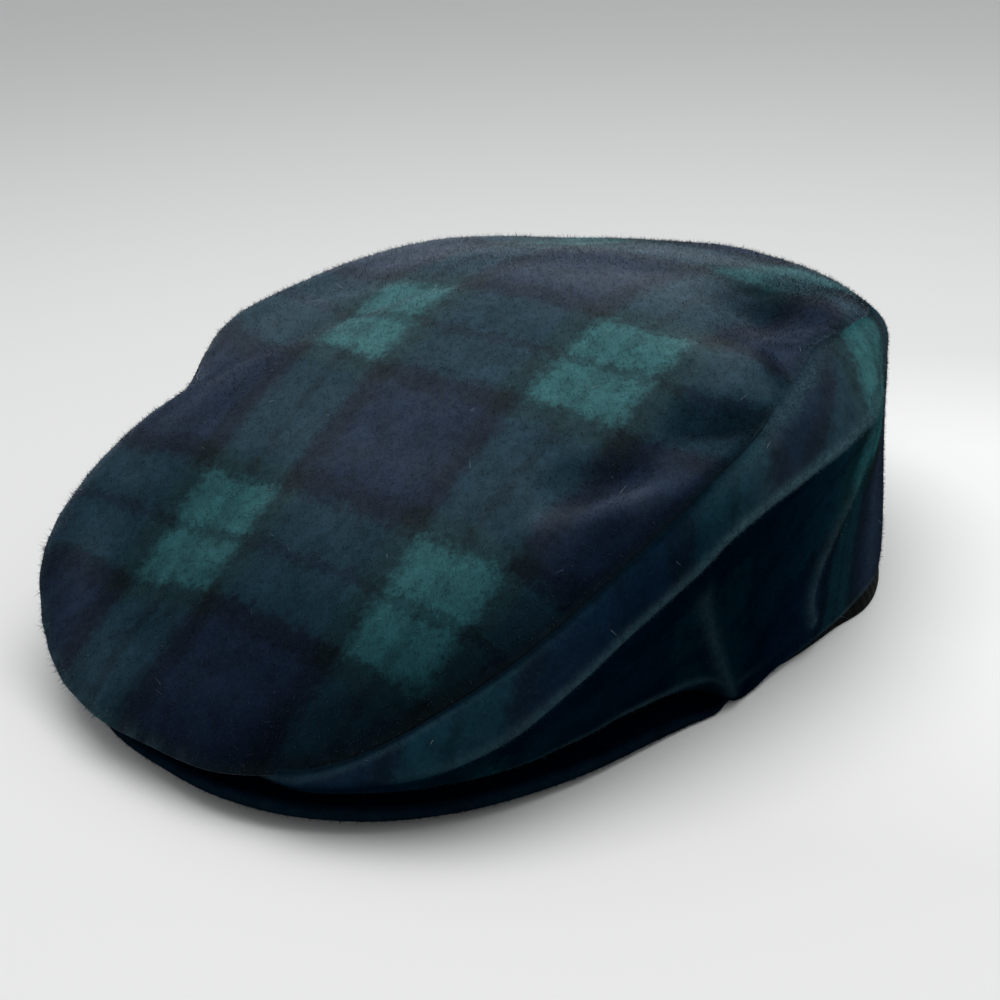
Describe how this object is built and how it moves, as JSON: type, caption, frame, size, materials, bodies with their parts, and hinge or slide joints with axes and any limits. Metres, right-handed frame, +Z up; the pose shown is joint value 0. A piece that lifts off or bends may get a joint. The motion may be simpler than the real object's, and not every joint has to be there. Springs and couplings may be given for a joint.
{
  "type": "driving cap",
  "caption": "Flat driving cap in brushed tartan wool: one domed top panel, two folded side panels, an arched stiff peak and a dark sweatband round an open head hollow.",
  "frame": {"origin": "centre of the bounding box at its base, on the plane of the sweatband's lower rim", "axes": "+X to the wearer's left, +Y from the peak to the back, +Z up"},
  "size_m": [0.2024, 0.2706, 0.0935],
  "materials": {
    "crown_wool": "brushed tartan wool, green and navy checks",
    "side_wool": "brushed tartan wool, green and navy checks",
    "peak_wool": "brushed tartan wool over a stiff core",
    "sweatband": "smooth black tape"
  },
  "bodies": {
    "root": {"crown_top": "crown_wool", "side_left": "side_wool", "side_right": "side_wool", "peak": "peak_wool", "sweatband": "sweatband"}
  },
  "joints": []
}
